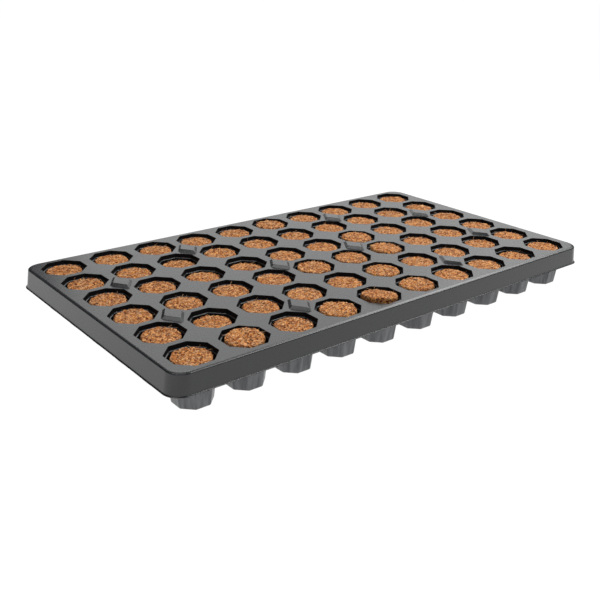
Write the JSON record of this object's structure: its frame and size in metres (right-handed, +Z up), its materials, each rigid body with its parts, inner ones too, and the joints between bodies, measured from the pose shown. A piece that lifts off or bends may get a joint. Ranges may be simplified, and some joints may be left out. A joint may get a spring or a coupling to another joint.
{
  "type": "plug tray",
  "caption": "Thermoformed propagation tray with a grid of tapered octagonal cells, flared rim and denesting lugs, each cell holding a lift-out round coir plug.",
  "frame": {"origin": "on the floor plane the cells stand on, under the middle of the tray", "axes": "+Z up, +X along the long side, +Y along the short side towards the back"},
  "size_m": [0.528, 0.2928, 0.0446],
  "materials": {
    "tray_sheet": "dark grey thermoformed polystyrene sheet, satin",
    "coir": "orange-brown coir fibre and granules, matte"
  },
  "bodies": {
    "tray": {"deck_border": "tray_sheet", "rim_skirt": "tray_sheet", "denesting_lugs": "tray_sheet", "cell_row_01": "tray_sheet", "cell_row_02": "tray_sheet", "cell_row_03": "tray_sheet", "cell_row_04": "tray_sheet", "cell_row_05": "tray_sheet", "cell_row_06": "tray_sheet", "cell_row_07": "tray_sheet", "cell_row_08": "tray_sheet", "cell_row_09": "tray_sheet", "cell_row_10": "tray_sheet"},
    "plug_row_01": {"plug_row_01": "coir"},
    "plug_row_02": {"plug_row_02": "coir"},
    "plug_row_03": {"plug_row_03": "coir"},
    "plug_row_04": {"plug_row_04": "coir"},
    "plug_row_05": {"plug_row_05": "coir"},
    "plug_row_06": {"plug_row_06": "coir"},
    "plug_row_07": {"plug_row_07": "coir"},
    "plug_row_08": {"plug_row_08": "coir"},
    "plug_row_09": {"plug_row_09": "coir"},
    "plug_row_10": {"plug_row_10": "coir"}
  },
  "joints": [
    {"name": "plug_row_01_lift", "type": "slide", "parent": "tray", "child": "plug_row_01", "axis": [0, 0, 1], "range_m": [0, 0.055]},
    {"name": "plug_row_02_lift", "type": "slide", "parent": "tray", "child": "plug_row_02", "axis": [0, 0, 1], "range_m": [0, 0.055]},
    {"name": "plug_row_03_lift", "type": "slide", "parent": "tray", "child": "plug_row_03", "axis": [0, 0, 1], "range_m": [0, 0.055]},
    {"name": "plug_row_04_lift", "type": "slide", "parent": "tray", "child": "plug_row_04", "axis": [0, 0, 1], "range_m": [0, 0.055]},
    {"name": "plug_row_05_lift", "type": "slide", "parent": "tray", "child": "plug_row_05", "axis": [0, 0, 1], "range_m": [0, 0.055]},
    {"name": "plug_row_06_lift", "type": "slide", "parent": "tray", "child": "plug_row_06", "axis": [0, 0, 1], "range_m": [0, 0.055]},
    {"name": "plug_row_07_lift", "type": "slide", "parent": "tray", "child": "plug_row_07", "axis": [0, 0, 1], "range_m": [0, 0.055]},
    {"name": "plug_row_08_lift", "type": "slide", "parent": "tray", "child": "plug_row_08", "axis": [0, 0, 1], "range_m": [0, 0.055]},
    {"name": "plug_row_09_lift", "type": "slide", "parent": "tray", "child": "plug_row_09", "axis": [0, 0, 1], "range_m": [0, 0.055]},
    {"name": "plug_row_10_lift", "type": "slide", "parent": "tray", "child": "plug_row_10", "axis": [0, 0, 1], "range_m": [0, 0.055]}
  ]
}
